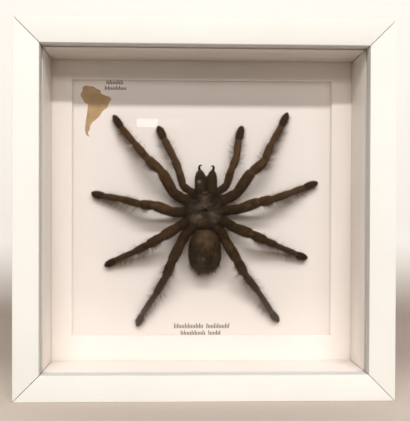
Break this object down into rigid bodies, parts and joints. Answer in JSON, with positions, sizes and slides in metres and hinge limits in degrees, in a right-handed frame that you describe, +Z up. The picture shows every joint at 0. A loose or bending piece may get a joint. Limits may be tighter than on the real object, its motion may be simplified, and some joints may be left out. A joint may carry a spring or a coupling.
{
  "type": "framed tarantula specimen",
  "caption": "Dried tarantula with spread legs on a white card behind a mat, in a deep square white frame with glass that stands or hangs.",
  "frame": {"origin": "middle of the underside of the bottom rail, at the centre of the bounding box's base", "axes": "+Z up; the glass and the spider's back face -Y, the back panel faces +Y; +X to the right of someone looking at the glass"},
  "size_m": [0.25, 0.045, 0.25],
  "materials": {
    "frame_coating": "cream-white smooth coating on wood, satin",
    "glass": "clear flat pane",
    "spacer_board": "white board, matt",
    "mat_board": "warm white board with a fine tooth, matt",
    "card_stock": "smooth white card with a small tan print, matt",
    "hardboard": "brown pressed fibre board, matt",
    "steel": "zinc-plated strip, satin",
    "carapace": "dark brown dried chitin under a thin felt of hair, low sheen",
    "leg_hair": "dark brown bristly hair, matt",
    "abdomen_hair": "brown hair with a greyer bald patch, matt",
    "fang": "near-black horn, glossy"
  },
  "bodies": {
    "root": {"rail_bottom": "frame_coating", "rail_right": "frame_coating", "rail_top": "frame_coating", "rail_left": "frame_coating", "glass_pane": "glass", "spacer_bottom": "spacer_board", "spacer_right": "spacer_board", "spacer_top": "spacer_board", "spacer_left": "spacer_board", "mat": "mat_board", "card": "card_stock", "back_panel": "hardboard", "tab_bottom_1": "steel", "tab_bottom_2": "steel", "tab_right_1": "steel", "tab_right_2": "steel", "tab_top_1": "steel", "tab_top_2": "steel", "tab_left_1": "steel", "tab_left_2": "steel", "hanger": "steel", "cephalothorax": "carapace", "abdomen": "abdomen_hair", "chelicera_left": "leg_hair", "fang_left": "fang", "palp_left": "leg_hair", "spinneret_left": "leg_hair", "chelicera_right": "leg_hair", "fang_right": "fang", "palp_right": "leg_hair", "spinneret_right": "leg_hair", "leg_left_1": "leg_hair", "leg_left_2": "leg_hair", "leg_left_3": "leg_hair", "leg_left_4": "leg_hair", "leg_right_1": "leg_hair", "leg_right_2": "leg_hair", "leg_right_3": "leg_hair", "leg_right_4": "leg_hair"}
  },
  "joints": []
}
